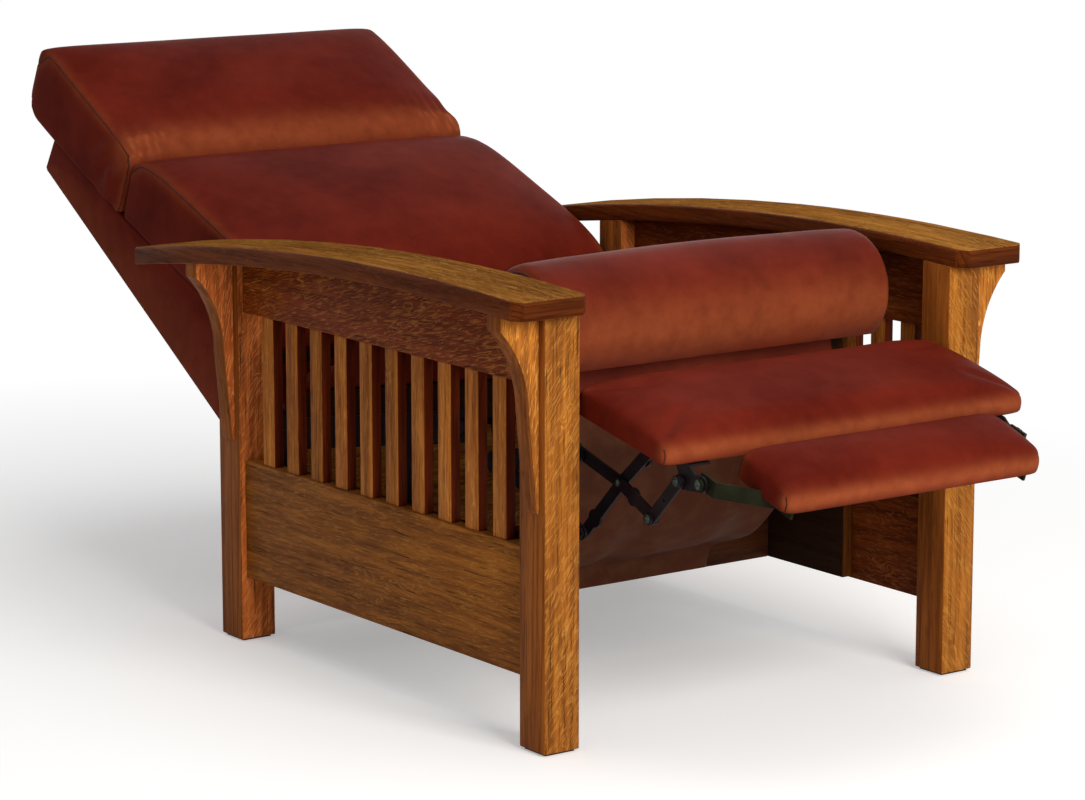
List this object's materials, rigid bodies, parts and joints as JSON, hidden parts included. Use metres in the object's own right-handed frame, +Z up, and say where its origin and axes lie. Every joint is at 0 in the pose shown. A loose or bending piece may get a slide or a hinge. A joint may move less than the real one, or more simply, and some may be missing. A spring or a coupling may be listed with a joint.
{
  "type": "reclining armchair",
  "caption": "Reclining oak armchair with slatted sides, bowed arms, leather cushions, a tilting back and a folding scissor footrest with an outer flipper.",
  "frame": {"origin": "on the floor, under the middle of the bounding box of the chair as it is stored, fully reclined with the footrest out", "axes": "+X across the chair towards the sitter's left, +Y from the footrest to the back, +Z up"},
  "size_m": [0.8918, 1.8168, 0.8183],
  "materials": {
    "stained_oak": "satin stained quartersawn oak",
    "leather_upholstery": "smooth dark red-brown leather",
    "dark_backing": "dark covering of the back",
    "plywood": "plain plywood",
    "dark_wood": "dark stained wood",
    "felt": "dense felt",
    "apron_cloth": "soft brown drop cloth",
    "webbing": "woven webbing",
    "lever_steel": "dark olive painted steel",
    "dark_steel": "near-black painted steel"
  },
  "bodies": {
    "frame": {"post_front_left": "stained_oak", "post_front_right": "stained_oak", "post_rear_left": "stained_oak", "post_rear_right": "stained_oak", "corbel_front_left": "stained_oak", "corbel_front_right": "stained_oak", "corbel_rear_left": "stained_oak", "corbel_rear_right": "stained_oak", "arm_left": "stained_oak", "arm_right": "stained_oak", "side_rail_left": "stained_oak", "side_rail_right": "stained_oak", "arch_rail_left": "stained_oak", "arch_rail_right": "stained_oak", "slats_left": "stained_oak", "slats_right": "stained_oak", "side_board_left": "dark_wood", "side_board_right": "dark_wood", "felt_glides": "felt", "cross_rail_front": "dark_wood", "cross_rail_rear": "stained_oak", "base_rail_left": "dark_steel", "base_rail_right": "dark_steel", "drop_apron": "apron_cloth"},
    "lift_arms": {"lift_arm_left": "dark_steel", "lift_arm_right": "dark_steel"},
    "seat": {"seat_rail_left": "plywood", "seat_rail_right": "plywood", "seat_rail_front": "plywood", "seat_rail_rear": "plywood", "seat_webbing": "webbing", "seat_cushion": "leather_upholstery", "side_plate_left": "dark_steel", "side_plate_right": "dark_steel", "nose_bracket_left": "dark_steel", "nose_bracket_right": "dark_steel"},
    "drive_crank": {"torque_tube": "dark_steel", "crank_arms": "dark_steel"},
    "long_links": {"long_link_left": "dark_steel", "long_link_right": "dark_steel"},
    "cross_links": {"cross_link_left": "dark_steel", "cross_link_right": "dark_steel"},
    "front_links": {"front_link_left": "dark_steel", "front_link_right": "dark_steel"},
    "footrest": {"footrest_bracket_left": "dark_steel", "footrest_bracket_right": "dark_steel", "footrest_board": "plywood", "footrest_pad": "leather_upholstery"},
    "flipper": {"flipper_lever_left": "lever_steel", "flipper_lever_right": "lever_steel", "flipper_board": "plywood", "flipper_pad": "leather_upholstery"},
    "back": {"back_side_left": "dark_backing", "back_side_right": "dark_backing", "back_bracket_left": "dark_steel", "back_bracket_right": "dark_steel", "back_panel": "dark_backing", "back_rails": "plywood", "back_pad": "leather_upholstery", "head_pillow": "leather_upholstery"}
  },
  "joints": [
    {"name": "recline", "type": "hinge", "parent": "frame", "child": "seat", "pos_m": [0, 0.1373, 0.3], "axis": [1, 0, 0], "range_deg": [0, 9], "deforming": ["drop_apron"]},
    {"name": "back_tilt", "type": "hinge", "parent": "seat", "child": "back", "pos_m": [0, 0.20225, 0.32997], "axis": [1, 0, 0], "range_deg": [0, 33.01]},
    {"name": "lift_arm_swing", "type": "hinge", "parent": "frame", "child": "lift_arms", "pos_m": [0, -0.20568, 0.36002], "axis": [1, 0, 0], "range_deg": [0, 39.51]},
    {"name": "footrest_fold", "type": "hinge", "parent": "seat", "child": "long_links", "pos_m": [0, -0.53011, 0.38983], "axis": [1, 0, 0], "range_deg": [0, 89.64]},
    {"name": "crank_turn", "type": "hinge", "parent": "seat", "child": "drive_crank", "pos_m": [0, -0.338, 0.3437], "axis": [1, 0, 0], "range_deg": [0, 31.35]},
    {"name": "cross_link_turn", "type": "hinge", "parent": "long_links", "child": "cross_links", "pos_m": [0, -0.6191, 0.36392], "axis": [1, 0, 0], "range_deg": [-119.27, 0]},
    {"name": "front_link_turn", "type": "hinge", "parent": "long_links", "child": "front_links", "pos_m": [0, -0.6927, 0.32802], "axis": [1, 0, 0], "range_deg": [-73.23, 0]},
    {"name": "footrest_turn", "type": "hinge", "parent": "cross_links", "child": "footrest", "pos_m": [0, -0.66301, 0.40202], "axis": [1, 0, 0], "range_deg": [0, 98.63]},
    {"name": "flipper_turn", "type": "hinge", "parent": "footrest", "child": "flipper", "pos_m": [0, -0.79171, 0.39003], "axis": [1, 0, 0], "range_deg": [0, 170.01]}
  ],
  "couplings": [
    {"joint": "back_tilt", "follows": "recline", "ratio": 3.6667},
    {"joint": "lift_arm_swing", "follows": "recline", "ratio": 4.389},
    {"joint": "crank_turn", "follows": "footrest_fold", "ratio": 0.3496},
    {"joint": "cross_link_turn", "follows": "footrest_fold", "ratio": -1.3304},
    {"joint": "front_link_turn", "follows": "footrest_fold", "ratio": -0.81687},
    {"joint": "footrest_turn", "follows": "footrest_fold", "ratio": 1.1001},
    {"joint": "flipper_turn", "follows": "footrest_fold", "ratio": 1.8965}
  ]
}
